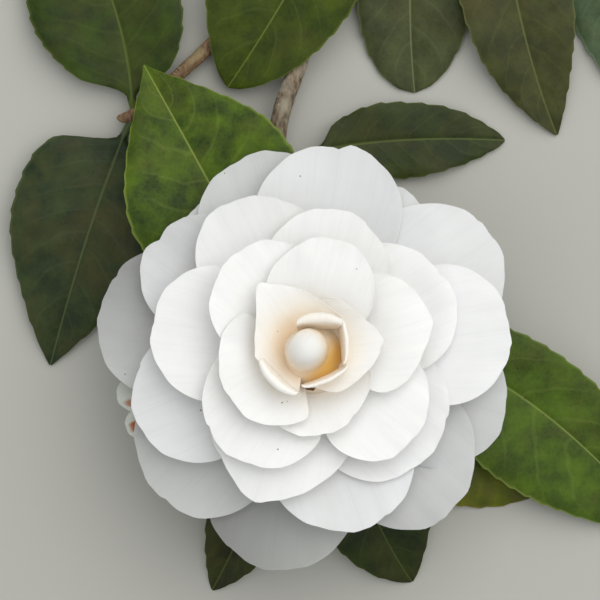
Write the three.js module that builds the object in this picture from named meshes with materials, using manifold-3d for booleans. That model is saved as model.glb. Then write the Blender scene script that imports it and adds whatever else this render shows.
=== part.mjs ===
// A cut flowering sprig of camellia, lying down with its one open bloom facing up.
// Millimetres. +X to the right of the bloom, +Y back along the stem to the cut, +Z up.
// The bloom's axis passes over x = 0, y = 0 before the last line of the file moves the
// whole sprig to stand on z = 0 with its box centred.
import * as THREE from 'three';
import { mergeVertices } from 'three/addons/utils/BufferGeometryUtils.js';
import Module from 'manifold-3d';

const wasm = await Module();
wasm.setup();

// ---------------------------------------------------------------- driving sizes (mm)
const joint_gap = 0.3;            // clear space left where two stems meet

// bloom: a formal double of white petals laid like tiles in rings round a closed heart
const bloom_seat_height = 22;     // petal roots above the floor
const bloom_lean = 7;             // degrees the flower's axis leans back over the stem
const petal_thick = 0.7;
const petal_root_radius = 5;
const petal_root_half_width = 3.2;
const petal_edge_cup = 0.5;       // lift of a petal's two sides
const petal_lip = 0.8;            // lift of a petal's rim

// each ring of petals lies on its own flared surface: how far it spreads, how high its
// rim stands over the roots, how high it leaves the heart, and how much it arches
const ring_surfaces = [
  { spread: 53, rim: -2, root: 0, arch: 4 },
  { spread: 51, rim: 5, root: 1.5, arch: 3 },
  { spread: 43, rim: 11.5, root: 3, arch: 2 },
  { spread: 34.5, rim: 17, root: 4.5, arch: 1 },
  { spread: 27, rim: 22, root: 9, arch: 0.5 },
  { spread: 18, rim: 26.5, root: 17, arch: 0 },
  { spread: 9, rim: 30, root: 22, arch: 0 },
];

// petals of each ring, lowest first: turn in degrees, reach and half width in mm, then
// how far the rim comes to a point (0 to 1) and how round it is (1 a half circle)
const rings = [
  [[-99, 50.9, 17.5], [-169.5, 46, 4.2], [-159, 45.4, 3.3], [-139.5, 48.2, 17.5], [128.5, 44.7, 9],
    [105.5, 50.7, 16.5], [166.5, 50.8, 17.5], [-16, 49, 17.5], [-45, 50.2, 17]],
  [[57.5, 46.3, 12], [32.5, 52.8, 17], [81, 51, 17], [142, 45.3, 14.5], [-156, 41, 15.5],
    [-71.5, 43, 17], [7.5, 48.7, 16.2]],
  [[-38, 37.7, 16.5], [28, 37.2, 16], [115, 39.6, 14.8], [-108.5, 36.7, 16.5, 0.3], [169.5, 36.8, 15.5]],
  [[75.5, 33.7, 14.5], [-37.5, 32.6, 13.5], [-127, 30.1, 14.8], [14.5, 30.3, 14, 0.25]],
  [[-77.5, 20.1, 13], [129, 27.4, 13.5], [-150, 21.2, 13.8], [75.5, 25.7, 12.2], [4.5, 17.9, 10.6, 0.5]],
  [[127, 17.7, 10.5, 1], [-129, 12.6, 6.4, 0, 0.2], [-67, 10.5, 7, 0, 0.2], [-4, 9.4, 4.8, 0, 0.2],
    [79, 7.1, 5, 0, 0.3]],
];
const heart_radius = 5;           // the closed bud at the middle
const heart_top = 32.5;
const heart_waist = 26.5;
const packed_radius = 26;         // petals' hidden bases are packed solid inside this

// calyx and flower stalk
const calyx_radius = 10.5;
const calyx_depth = 7;
const stalk_radius = 2.5;

// stems: points along the middle of each, and the half thickness at either end
const cut_end_radius = 2.6;
const main_stem = {
  line: [[20.8, 144.7, 2.6], [8.4, 102.5, 3.9], [-2, 71.6, 5], [-6.8, 55.6, 6],
    [-5.5, 28, 7.6], [0, -1.3, 9], [1.2, -11.5, 9.6]],
  from: cut_end_radius, to: 1.9, swell: 0.35, knots: [0.08, 0.26, 0.61, 0.9], bud: 5,
};
const left_twig = {
  line: [[8.4, 102.5, 3.9], [-4, 92, 3.4], [-12.5, 86.5, 3.2], [-28, 72.5, 3],
    [-43, 59.2, 3.2], [-46.6, 58.6, 4]],
  from: 1.9, to: 1.5, swell: 0.3, knots: [0.5, 0.93], bud: 4.5,
};
const right_twig = {
  line: [[20.2, 142.5, 2.7], [33, 139.5, 3.6], [50, 131, 4.6], [66, 122.5, 4.4], [70.5, 121, 4.6]],
  from: 1.8, to: 1.4, swell: 0.3, knots: [0.28, 0.62, 0.9], bud: 4.5,
};

// leaves: where on a stem (fraction of its length), foot of the blade, the point its
// midrib bends toward, tip, half widths on its left and right, side fold in degrees,
// and how broad the foot and how blunt the tip are (powers of the outline rule)
const petiole_radius = 1.05;
const leaf_thick = 0.95;
const tip_edge = 0.4;             // half width left at the very tip
const leaves = {
  leaf_behind_bloom: {
    on: 'main_stem', at: 0.912, foot: [-7, 11.5, 12.8], bend: [-23, 42, 16], tip: [-39.6, 71.3, 8.4],
    half: [22, 22], fold: 7, foot_power: 1.1, tip_power: 1.3,
  },
  leaf_left_low: {
    on: 'left_twig', at: 0.93, foot: [-44.9, 54.4, 3], bend: [-54.5, 30, 6.4], tip: [-63.3, -2.3, 0.5],
    half: [18, 20.5], fold: 6, foot_power: 0.55, tip_power: 1,
  },
  leaf_left_high: {
    on: 'left_twig', at: 0.93, foot: [-42.9, 63.2, 3.7], bend: [-44, 90, 5.6], tip: [-68, 131, 0.5],
    half: [20.5, 17], fold: 6, foot_power: 0.75, tip_power: 1,
  },
  leaf_top_middle: {
    on: 'main_stem', at: 0.1, foot: [12.6, 126.2, 8.6], bend: [3, 97, 14], tip: [-19.3, 66.3, 3.2],
    half: [16, 21], fold: 8, foot_power: 0.9, tip_power: 0.75,
  },
  leaf_top_right: {
    on: 'right_twig', at: 0.3, foot: [30.2, 131.5, 2.6], bend: [23.5, 99, 2.4], tip: [27, 65.2, 0.5],
    half: [15, 13.4], fold: 4, foot_power: 1, tip_power: 0.6,
  },
  leaf_far_right_high: {
    on: 'right_twig', at: 0.62, foot: [46.9, 123.6, 5.6], bend: [49.5, 84, 8], tip: [62.2, 54.7, 0.5],
    half: [14, 14], fold: 7, foot_power: 0.8, tip_power: 1,
  },
  leaf_right_edge: {
    on: 'right_twig', at: 0.9, foot: [70.6, 113.8, 2.6], bend: [79, 88, 1.6], tip: [83.5, 60, 0.5],
    half: [12.5, 12.5], fold: 3, foot_power: 0.9, tip_power: 1,
  },
  leaf_right: {
    on: 'main_stem', at: 0.945, foot: [9, 8, 9.8], bend: [50, 2, 12], tip: [86, -41, 0.5],
    half: [14, 19.5], fold: 5, foot_power: 1.1, tip_power: 0.7,
  },
  leaf_right_low: {
    on: 'main_stem', at: 0.972, foot: [11, -7, 6.6], bend: [37, -19, 0.9], tip: [62.8, -30.7, 0.5],
    half: [13, 17.5], fold: 2, foot_power: 0.8, tip_power: 0.8,
  },
  leaf_below: {
    on: 'main_stem', at: 0.985, foot: [8.5, -13.5, 7.2], bend: [14, -38, 9.4], tip: [26.3, -56, 0.5],
    half: [16, 13], fold: 5, foot_power: 0.8, tip_power: 0.9,
  },
  leaf_below_left: {
    on: 'main_stem', at: 0.975, foot: [-6, -11, 7.6], bend: [-11, -36, 8], tip: [-23.2, -58, 0.5],
    half: [10.5, 10.5], fold: 5, foot_power: 0.8, tip_power: 0.9,
  },
  leaf_under_rim: {
    on: 'main_stem', at: 0.64, foot: [3, 50.6, 4.2], bend: [22, 54.6, 3.6], tip: [49.3, 53.4, 0.5],
    half: [9.5, 9.5], fold: 4, foot_power: 0.7, tip_power: 0.8,
  },
};

const colours = { bark: 0x8a7868, young_bark: 0x93806a, sepal: 0xb9b27a, petal: 0xf3f1ea, leaf: 0x46602c };

// ---------------------------------------------------------------- helpers
const V = (p) => new THREE.Vector3(p[0], p[1], p[2]);
const rad = THREE.MathUtils.degToRad;
const mix = (a, b, t) => a + (b - a) * t;

// closed skin over a row of sections; each section runs over the top and back beneath
function skin(sections) {
  const n = sections[0].length;
  const points = sections.flat();
  const index = [];
  for (let r = 0; r + 1 < sections.length; r++) {
    for (let k = 0; k < n; k++) {
      const a = r * n + k;
      const b = r * n + ((k + 1) % n);
      index.push(a, b, a + n, b, b + n, a + n);
    }
  }
  const cap = (start, flip) => {
    for (let k = 0; k < n / 2 - 1; k++) {
      const q = [start + k, start + k + 1, start + n - 2 - k, start + n - 1 - k];
      if (q[1] !== q[2]) index.push(...(flip ? [q[0], q[2], q[1]] : [q[0], q[1], q[2]]));
      index.push(...(flip ? [q[0], q[3], q[2]] : [q[0], q[2], q[3]]));
    }
  };
  cap(0, true);
  cap((sections.length - 1) * n, false);
  let volume = 0;
  for (let i = 0; i < index.length; i += 3) {
    volume += points[index[i]].dot(points[index[i + 1]].clone().cross(points[index[i + 2]]));
  }
  if (volume < 0) {
    for (let i = 0; i < index.length; i += 3) [index[i + 1], index[i + 2]] = [index[i + 2], index[i + 1]];
  }
  const g = new THREE.BufferGeometry();
  g.setAttribute('position', new THREE.Float32BufferAttribute(points.flatMap((p) => [p.x, p.y, p.z]), 3));
  g.setIndex(index);
  return g;
}

function toSolid(g) {
  const m = mergeVertices(g, 1e-4);
  return new wasm.Manifold(new wasm.Mesh({
    numProp: 3,
    vertProperties: new Float32Array(m.attributes.position.array),
    triVerts: new Uint32Array(m.index.array),
  }));
}

function fromSolid(solid) {
  const m = solid.getMesh();
  const g = new THREE.BufferGeometry();
  g.setAttribute('position', new THREE.Float32BufferAttribute(m.vertProperties, 3));
  g.setIndex(Array.from(m.triVerts));
  return g;
}

const group = new THREE.Group();
function add(name, geometry, colour) {
  const mesh = new THREE.Mesh(geometry, new THREE.MeshStandardMaterial({ color: colour, name }));
  mesh.name = name;
  group.add(mesh);
}

// ---------------------------------------------------------------- stems
function limb(spec, sides = 12, steps = 26) {
  const curve = new THREE.CatmullRomCurve3(spec.line.map(V), false, 'centripetal');
  const length = curve.getLength();
  const budStart = 1 - spec.bud / length;
  const radius = (t) => {
    let r = mix(spec.from, spec.to, t);
    for (const k of spec.knots) r += spec.swell * Math.exp(-(((t - k) * length / 2.2) ** 2));
    if (t > budStart) {
      const s = (t - budStart) / (1 - budStart);
      r = mix(r, spec.to, Math.min(1, s * 3)) * Math.sqrt(Math.max(0.04, 1 - s ** 2.4));
    }
    return r;
  };
  return { curve, length, radius, budStart, sides, steps };
}

function limbSections(l, from = 0) {
  const stops = [];
  for (let i = 0; i <= l.steps; i++) stops.push(mix(from, l.budStart, i / l.steps));
  for (const s of [0.25, 0.5, 0.72, 0.88, 1]) stops.push(mix(l.budStart, 1, s));
  let side = new THREE.Vector3(0, 0, 1);
  return stops.map((t) => {
    const p = l.curve.getPointAt(t);
    const along = l.curve.getTangentAt(t);
    const up = side.clone().addScaledVector(along, -side.dot(along)).normalize();
    const across = along.clone().cross(up);
    const r = l.radius(t);
    return Array.from({ length: l.sides }, (_, k) => {
      const a = (k / l.sides) * 2 * Math.PI;
      return p.clone().addScaledVector(across, r * Math.cos(a)).addScaledVector(up, r * Math.sin(a));
    });
  });
}

const stems = {
  main_stem: limb(main_stem, 12, 30),
  left_twig: limb(left_twig, 10, 18),
  right_twig: limb(right_twig, 10, 16),
};

// least distance from any of some points to a stem's skin
function clearance(points, stem) {
  let least = Infinity;
  for (let s = 0; s <= 1; s += 0.002) {
    const middle = stem.curve.getPointAt(s);
    const r = stem.radius(s);
    for (const p of points) least = Math.min(least, p.distanceTo(middle) - r);
  }
  return least;
}

// points round the rim of a disc
function disc(middle, along, radius) {
  const u = new THREE.Vector3(0, 0, 1).cross(along).normalize();
  const v = along.clone().cross(u).normalize();
  return Array.from({ length: 12 }, (_, k) => middle.clone()
    .addScaledVector(u, radius * Math.cos((k / 6) * Math.PI))
    .addScaledVector(v, radius * Math.sin((k / 6) * Math.PI)));
}

// a side twig starts joint_gap clear of the main stem's skin
function startClear(twig, parent) {
  let t = 0;
  const rim = () => disc(twig.curve.getPointAt(t), twig.curve.getTangentAt(t), twig.radius(t));
  while (t < 0.4 && clearance([...rim(), twig.curve.getPointAt(t)], parent) < joint_gap) t += 0.002;
  return t;
}
add('main_stem', skin(limbSections(stems.main_stem)), colours.bark);
for (const name of ['left_twig', 'right_twig']) {
  const start = startClear(stems[name], stems.main_stem);
  add(name, skin(limbSections(stems[name], start)), colours.young_bark);
}

// ---------------------------------------------------------------- leaves
const blade_stops = [0, 0.05, 0.12, 0.21, 0.31, 0.42, 0.53, 0.64, 0.74, 0.83, 0.91, 0.965, 1];
const blade_across = [-1, -0.55, 0, 0.55, 1];
const blade_body = [0.8, 1, 1.5, 1, 0.8];
function leaf(spec) {
  const stem = stems[spec.on];
  const origin = stem.curve.getPointAt(spec.at);
  const foot = V(spec.foot);
  const out = foot.clone().sub(origin).normalize();
  let reach = stem.radius(spec.at);
  const at = () => origin.clone().addScaledVector(out, reach);
  const gap = () => clearance([at(), ...disc(at(), out, petiole_radius)], stem);
  while (reach < 8 && gap() < joint_gap + 0.04) reach += 0.05;
  const start = at();
  const rib = new THREE.QuadraticBezierCurve3(foot, V(spec.bend), V(spec.tip));
  const widest = spec.foot_power / (spec.foot_power + spec.tip_power);
  const peak = widest ** spec.foot_power * (1 - widest) ** spec.tip_power;
  const outline = (s) => (s ** spec.foot_power * (1 - s) ** spec.tip_power) / peak;
  const fold = rad(spec.fold);
  const place = (p, along, blade, w, s) => {
    const side = along.clone().cross(new THREE.Vector3(0, 0, 1)).normalize();
    const up = side.clone().cross(along).normalize();
    const top = [];
    const under = [];
    for (let k = 0; k < 5; k++) {
      const a = rad(162 - 36 * k);
      const v = blade_across[k];
      const half = v < 0 ? w[0] : w[1];
      const x = mix(petiole_radius * Math.cos(a), v * half * Math.cos(fold), blade);
      const lift = blade * Math.abs(v) * half * Math.sin(fold);
      const h = mix(petiole_radius * Math.sin(a), (leaf_thick / 2) * blade_body[k] * mix(1, 0.8, s), blade);
      top.push(p.clone().addScaledVector(side, x).addScaledVector(up, lift + h));
      under.push(p.clone().addScaledVector(side, x).addScaledVector(up, lift - h));
    }
    return [...top, ...under.reverse()];
  };
  const sections = [start, start.clone().lerp(foot, 0.5)].map((p) => place(p, out, 0, [0, 0], 0));
  for (const s of blade_stops) {
    const edge = mix(petiole_radius, tip_edge, s);
    const w = spec.half.map((h) => edge + (h - edge) * outline(s));
    const heading = s === 0 ? out.clone().lerp(rib.getTangent(0), 0.5).normalize() : rib.getTangent(s);
    sections.push(place(rib.getPoint(s), heading, Math.min(1, s / 0.12), w, s));
  }
  return skin(sections);
}
for (const [name, spec] of Object.entries(leaves)) add(name, leaf(spec), colours.leaf);

// ---------------------------------------------------------------- bloom
const lean = rad(bloom_lean);
function toWorld(x, y, h) {
  return new THREE.Vector3(
    x,
    y * Math.cos(lean) + h * Math.sin(lean),
    bloom_seat_height - y * Math.sin(lean) + h * Math.cos(lean),
  );
}

// height over the roots of the surface a petal of that level lies on
function surface(level, radius) {
  const i = Math.min(Math.floor(level), ring_surfaces.length - 2);
  const f = level - i;
  const at = (key) => mix(ring_surfaces[i][key], ring_surfaces[i + 1][key], f);
  const t = radius / at('spread');
  const flare = (at('rim') - at('root')) * (1 - Math.max(0, 1 - t) ** 2);
  return at('root') + flare + at('arch') * Math.sin(Math.PI * Math.min(t, 1.2));
}

function petal(level, columns, turn, reach, half, point = 0, round = 1) {
  const stops = [0, 0.3, 0.58, 0.82, 1];
  const swing = rad(turn);
  const spanAngle = 76;
  const rows = stops.map((u) => {
    const top = [];
    const under = [];
    for (let k = 0; k <= columns; k++) {
      const a = rad(mix(-spanAngle, spanAngle, k / columns));
      const v = Math.sin(a) / Math.sin(rad(spanAngle));
      const drop = Math.min(half, reach * 0.6) * round * mix(1 - Math.cos(a), 1.3 * Math.abs(v), point);
      const rim = reach - drop;
      const along = mix(petal_root_radius * Math.min(1, reach / 18), rim, u);
      const across = v * mix(Math.min(petal_root_half_width, half), half, u ** 0.75);
      const x = along * Math.cos(swing) - across * Math.sin(swing);
      const y = along * Math.sin(swing) + across * Math.cos(swing);
      const radius = Math.hypot(x, y);
      const h = surface(level, radius) + petal_edge_cup * v * v * u * u + petal_lip * u ** 4;
      const slope = (surface(level, radius + 0.1) - surface(level, radius - 0.1)) / 0.2;
      const norm = Math.hypot(1, slope);
      const nx = -slope * (x / radius) / norm;
      const ny = -slope * (y / radius) / norm;
      const nz = 1 / norm;
      const t = petal_thick / 2;
      top.push(toWorld(x + nx * t, y + ny * t, h + nz * t));
      under.push(toWorld(x - nx * t, y - ny * t, h - nz * t));
    }
    return [...top, ...under.reverse()];
  });
  return skin(rows);
}

// solid turned from a half outline of [radius, height] pairs, given from the bottom up
function turned(outline, sides) {
  return skin(outline.map(([r, h]) => Array.from({ length: sides }, (_, k) => {
    const a = (k / sides) * 2 * Math.PI;
    return toWorld(r * Math.cos(a), r * Math.sin(a), h);
  })));
}

// the packed bases: from the seat out under the third ring, then in and up to the heart
const packed = [
  [petal_root_radius - 1, -1], [petal_root_radius + 3, -0.4],
  [petal_root_radius + 3, surface(1, petal_root_radius + 3)],
];
for (const r of [15, packed_radius - 3]) packed.push([r, surface(1, r)]);
packed.push([packed_radius, (surface(1, packed_radius) + surface(3, packed_radius)) / 2]);
for (const r of [packed_radius - 4, 15, 10]) packed.push([r, surface(3, r)]);
packed.push([7.2, surface(3, 8) + 2], [6, 18], [heart_radius + 0.7, 21.4]);
for (const a of [-30, 0, 35, 62, 82]) {
  packed.push([heart_radius * Math.cos(rad(a)), heart_waist + (heart_top - heart_waist) * Math.sin(rad(a))]);
}

let bloom = toSolid(turned(packed, 20));
rings.forEach((petals, ring) => {
  petals.forEach((sizes, i) => {
    const level = ring + i / petals.length;
    bloom = bloom.add(toSolid(petal(level, ring < 3 && sizes[2] > 6 ? 8 : 6, ...sizes)));
  });
});
add('bloom', fromSolid(bloom), colours.petal);

// ---------------------------------------------------------------- calyx and flower stalk
const stem_top = (() => {
  let best = -Infinity;
  for (let t = 0.8; t <= 1; t += 0.002) {
    const p = stems.main_stem.curve.getPointAt(t);
    if (Math.abs(p.y + 1.3) < stalk_radius + 0.5) best = Math.max(best, p.z + stems.main_stem.radius(t));
  }
  return best;
})();
const stalk_drop = (stem_top + joint_gap - bloom_seat_height) / Math.cos(lean);
const stalk_foot = stalk_drop + stalk_radius * Math.sin(lean);
const seat = -1 - joint_gap;
add('calyx', turned([
  [stalk_radius, stalk_foot], [stalk_radius, seat - calyx_depth],
  [stalk_radius * 1.5, seat - calyx_depth * 0.86], [calyx_radius * 0.66, seat - calyx_depth * 0.5],
  [calyx_radius * 0.92, seat - calyx_depth * 0.2], [calyx_radius, seat - 0.6],
  [calyx_radius * 0.94, seat], [calyx_radius * 0.4, seat],
], 30), colours.sepal);

// ---------------------------------------------------------------- stand on the floor
const box = new THREE.Box3().setFromObject(group);
const middle = box.getCenter(new THREE.Vector3());
for (const mesh of group.children) mesh.geometry.translate(-middle.x, -middle.y, -box.min.z);

export default group;
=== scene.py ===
# %% [markdown]
# # A cut sprig of camellia
# The object is one flowering sprig of a garden camellia, cut and laid down with its bloom
# facing up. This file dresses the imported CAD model: every petal, leaf and stem is made again
# in finer mesh from the same named sizes, so each piece lies where its solid lies. The
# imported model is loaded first, because each piece stands for one of its nodes.

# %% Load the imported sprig
import math

import bmesh
import bpy
import numpy as np
from mathutils import Matrix, Vector


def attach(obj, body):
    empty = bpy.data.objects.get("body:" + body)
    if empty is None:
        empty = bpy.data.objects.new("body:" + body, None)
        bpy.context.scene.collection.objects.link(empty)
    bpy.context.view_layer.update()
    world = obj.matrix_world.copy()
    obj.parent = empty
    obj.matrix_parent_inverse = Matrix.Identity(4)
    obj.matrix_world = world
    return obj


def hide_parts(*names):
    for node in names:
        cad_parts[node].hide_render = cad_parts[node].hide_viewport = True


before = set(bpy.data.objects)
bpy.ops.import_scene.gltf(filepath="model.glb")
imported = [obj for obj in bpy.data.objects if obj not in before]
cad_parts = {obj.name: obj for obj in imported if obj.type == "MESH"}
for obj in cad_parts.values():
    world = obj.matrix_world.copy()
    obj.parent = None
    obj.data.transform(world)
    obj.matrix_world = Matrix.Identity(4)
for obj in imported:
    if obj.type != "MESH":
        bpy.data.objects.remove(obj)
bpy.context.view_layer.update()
print("packed nodes:", sorted(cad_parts))

# %% [markdown]
# ## Working frame
# Sizes are given in millimetres, measured from the point on the floor under the middle of
# the bloom. One shift, the one that puts the CAD model's box over the origin, then takes
# each finished piece to its place, so objects stay at the origin, unturned and unscaled.

# %% Units, shift and small helpers
MM = 0.001
SHIFT = np.array([-9.092, -43.578, 0.070])
BODY = "root"


def mix(a, b, t):
    return a + (b - a) * t


def to_place(points):
    """Points in mm from under the bloom to metres in the row frame."""
    return (np.asarray(points, float) + SHIFT) * MM


def ease(x, start, end):
    """0 before start, 1 after end, smooth between."""
    t = np.clip((x - start) / (end - start), 0, 1)
    return t * t * (3 - 2 * t)


# %% [markdown]
# ## Colours and shader nodes
# Colours are written as sRGB hex, as one would read them off a colour card, and one function
# turns them to the linear values that a shader wants. One small function adds any node with
# its settings and its links, which keeps each material readable as a recipe.

# %% Colour, node and object helpers
# settings of nodes that come up often
RGBA = {"data_type": "RGBA"}
TINTED = {"data_type": "RGBA", "blend_type": "MULTIPLY"}
SMOOTH = {"interpolation_type": "SMOOTHSTEP"}
TIMES = {"operation": "MULTIPLY"}
TIMES_PLUS = {"operation": "MULTIPLY_ADD"}


def linear(hex_colour):
    raw = hex_colour.lstrip("#")
    parts = [int(raw[i:i + 2], 16) / 255 for i in (0, 2, 4)]
    return tuple(c / 12.92 if c <= 0.04045 else ((c + 0.055) / 1.055) ** 2.4 for c in parts) + (1.0,)


def add_node(tree, kind, settings=None, inputs=None):
    """A node with its settings. A node or socket given as an input is linked, a value is set."""
    node = tree.nodes.new(kind)
    for key, value in (settings or {}).items():
        setattr(node, key, value)
    for key, value in (inputs or {}).items():
        if isinstance(value, bpy.types.Node):
            value = value.outputs[0]
        if isinstance(value, bpy.types.NodeSocket):
            tree.links.new(value, node.inputs[key])
        else:
            node.inputs[key].default_value = value
    return node


def new_material(name):
    """An empty material, its node tree, and the place of each point on the object."""
    material = bpy.data.materials.new(name)
    material.use_nodes = True
    tree = material.node_tree
    tree.nodes.clear()
    return material, tree, add_node(tree, "ShaderNodeTexCoord").outputs["Object"]


def finish_material(tree, surface):
    """The shader with these inputs, led to the material's output."""
    shader = add_node(tree, "ShaderNodeBsdfPrincipled", inputs=surface)
    add_node(tree, "ShaderNodeOutputMaterial", inputs={"Surface": shader})


def grained(name, grain_size, dark, light, roughness):
    """A dull finish of two tones, in grains of a real size."""
    material, tree, place = new_material(name)
    grain = add_node(tree, "ShaderNodeTexNoise", inputs={"Vector": place, "Scale": 1 / grain_size})
    tone = add_node(tree, "ShaderNodeMix", RGBA, {0: grain, 6: linear(dark), 7: linear(light)})
    finish_material(tree, {"Base Color": tone.outputs[2], "Roughness": roughness, "Specular IOR Level": 0.2})
    return material


def add_object(name, data):
    thing = bpy.data.objects.new(name, data)
    bpy.context.collection.objects.link(thing)
    return thing


# %% [markdown]
# ## Camera, floor and light
# The bloom faces straight up at the camera, which hangs 600 mm over it, as one would look at
# a flower from in front. The floor is plain and pale, a little darker than the petals so that
# white still reads as white. The light is a large soft panel from the upper right, with a
# weaker one opposite, like an overcast sky over one shoulder.

# %% Camera
PIXELS = 600                       # the frame is square
PIXELS_PER_MM = 4.2                # at the bloom's height
BLOOM_HEIGHT = 25.0                # mm, the plane that the scale is given for
CAMERA_HEIGHT = 600.0              # mm above that plane
bud_x, bud_y = 306.0, 358.0        # where the bloom's middle falls in the frame

camera_data = bpy.data.cameras.new("camera")
camera_data.sensor_width = 36.0
camera_data.lens = 36.0 * CAMERA_HEIGHT / (PIXELS / PIXELS_PER_MM)
camera_data.clip_start = 0.05
camera_data.clip_end = 20.0
camera = add_object("camera", camera_data)
aim = [(PIXELS / 2 - bud_x) / PIXELS_PER_MM, (bud_y - PIXELS / 2) / PIXELS_PER_MM]
camera.location = to_place([*aim, BLOOM_HEIGHT + CAMERA_HEIGHT])
bpy.context.scene.camera = camera
print("lens", round(camera_data.lens, 1), "mm, camera at", [round(v, 3) for v in camera.location])

# %% Floor and lights
REACH = 3.0                        # metres from the middle of the floor to its sides
CARD_GRAIN = MM / 0.9              # the card's tooth, about 1.1 mm
floor_mesh = bpy.data.meshes.new("floor")
floor_mesh.from_pydata([(x * REACH, y * REACH, 0) for x, y in ((-1, -1), (1, -1), (1, 1), (-1, 1))], [],
                       [(0, 1, 2, 3)])
floor = add_object("floor", floor_mesh)
paper, tree, place = new_material("matt_card_floor")
grain = add_node(tree, "ShaderNodeTexNoise", inputs={
    "Vector": place, "Scale": 1 / CARD_GRAIN, "Detail": 3.0})
lumps = add_node(tree, "ShaderNodeBump", inputs={"Height": grain, "Strength": 0.05, "Distance": 0.2 * MM})
finish_material(tree, {
    "Base Color": linear("#B4B4AD"), "Roughness": 0.9, "Specular IOR Level": 0.2, "Normal": lumps})
floor_mesh.materials.append(paper)


def soft_panel(name, place, size, watts, tint):
    data = bpy.data.lights.new(name, "AREA")
    data.shape = "SQUARE"
    data.size = size
    data.energy = watts
    data.color = linear(tint)[:3]
    lamp = add_object(name, data)
    lamp.location = place
    lamp.rotation_euler = (Vector((0, -0.03, 0.03)) - Vector(place)).to_track_quat("-Z", "Y").to_euler()


soft_panel("key_panel", (0.40, 0.44, 0.95), 1.5, 11.5, "#FFFEFC")
soft_panel("fill_panel", (-0.75, -0.45, 0.8), 1.2, 1.8, "#F0F4FA")
world = bpy.data.worlds.new("soft_room")
bpy.context.scene.world = world
world.use_nodes = True
background = world.node_tree.nodes["Background"].inputs
background["Color"].default_value = linear("#EEEFEE")
background["Strength"].default_value = 0.60
bpy.context.scene.view_settings.view_transform = "Standard"
print("light: two panels and a soft room")

# %% [markdown]
# ## Sheets
# A petal, a leaf and a scale of the calyx are all thin sheets with two faces and a rim. Each
# is worked out as two grids of points, the upper face and the under face, which share the
# same rows and columns, and one function closes them into a solid sheet. Where each point
# lies across and along the sheet is kept as its UV map, so that veins can follow the sheet.

# %% Closing two grids into a sheet


def close_sheet(top, under, across, along):
    """Points, faces and across/along values of one sheet from its upper and under grids."""
    rows, columns = top.shape[:2]
    points = np.concatenate([top.reshape(-1, 3), under.reshape(-1, 3)])
    half = rows * columns
    number = np.arange(half).reshape(rows, columns)
    a, b = number[:-1, :-1].ravel(), number[:-1, 1:].ravel()
    c, d = number[1:, 1:].ravel(), number[1:, :-1].ravel()
    faces = [np.stack([a, b, c, d], 1), np.stack([d, c, b, a], 1) + half]
    for line in (number[0], number[:, -1], number[-1][::-1], number[:, 0][::-1]):
        faces.append(np.stack([line[:-1], line[:-1] + half, line[1:] + half, line[1:]], 1))
    faces = np.concatenate(faces)
    if enclosed_volume(points, faces) < 0:
        faces = faces[:, ::-1]
    uv = np.stack([(across + 0 * along).ravel(), (along + 0 * across).ravel()], 1)
    return {"points": points, "faces": faces, "uv": np.concatenate([uv, uv]),
            "under": np.repeat([0.0, 1.0], half)}


def enclosed_volume(points, faces):
    """Six times the volume inside the faces: above zero where they point outwards."""
    total = 0.0
    for corners in ([0, 1, 2], [0, 2, 3]):
        p, q, r = (points[faces[:, k]] for k in corners)
        total += np.einsum("ij,ij->", p, np.cross(q, r))
    return total


# %% One object from its sheets


def build_piece(name, sheets, material, place=to_place, sharp=55):
    """A mesh object from one or more sheets, with a UV map and one attribute for each extra value."""
    sizes = [len(s["points"]) for s in sheets]
    starts = np.concatenate([[0], np.cumsum(sizes)[:-1]])
    points = place(np.concatenate([s["points"] for s in sheets]))
    faces = np.concatenate([s["faces"] + start for s, start in zip(sheets, starts)])
    mesh = bpy.data.meshes.new(name)
    mesh.from_pydata(points.tolist(), [], faces.tolist())
    mesh.shade_smooth()
    corner_points = np.empty(len(mesh.loops), int)
    mesh.loops.foreach_get("vertex_index", corner_points)
    uv = np.concatenate([s["uv"] for s in sheets])
    mesh.uv_layers.new(name="sheet_uv").data.foreach_set("uv", uv[corner_points].ravel())
    for key in sheets[0]:
        if key in ("points", "faces", "uv"):
            continue
        values = np.concatenate([s[key] for s in sheets])
        kind, field = ("FLOAT_COLOR", "color") if values.ndim == 2 else ("FLOAT", "value")
        mesh.attributes.new(key, kind, "POINT").data.foreach_set(field, values.ravel())
    mesh.set_sharp_from_angle(angle=math.radians(sharp))
    mesh.materials.append(material)
    return add_object(name, mesh)


def fit_on(piece, node):
    """The piece rides on the sprig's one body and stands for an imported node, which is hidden."""
    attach(piece, BODY)
    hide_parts(node)
    print(piece.name, "stands for", node, "with", len(piece.data.polygons), "faces")
    return piece


# %% [markdown]
# ## Node trees that repeat or follow a path
# Stems, corky spots on the bark, the scales of the calyx and the wraps of the closed heart
# follow simple rules, so Geometry Nodes make them. Each tree has named inputs, and one
# function gives a host object the tree, sets the inputs, and keeps the result as a plain
# mesh, because instances and live modifiers don't survive an export.

# %% Run a node tree


def new_tree(name, sockets):
    tree = bpy.data.node_groups.new(name, "GeometryNodeTree")
    for socket, kind in sockets.items():
        tree.interface.new_socket(socket, in_out="INPUT", socket_type="NodeSocket" + kind)
    tree.interface.new_socket("Geometry", in_out="OUTPUT", socket_type="NodeSocketGeometry")
    return tree, add_node(tree, "NodeGroupInput").outputs


def finish_tree(tree, geometry, material):
    real = add_node(tree, "GeometryNodeRealizeInstances", inputs={0: geometry})
    painted = add_node(tree, "GeometryNodeSetMaterial", inputs={0: real, "Material": material})
    add_node(tree, "NodeGroupOutput", inputs={0: painted})
    return tree


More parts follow.
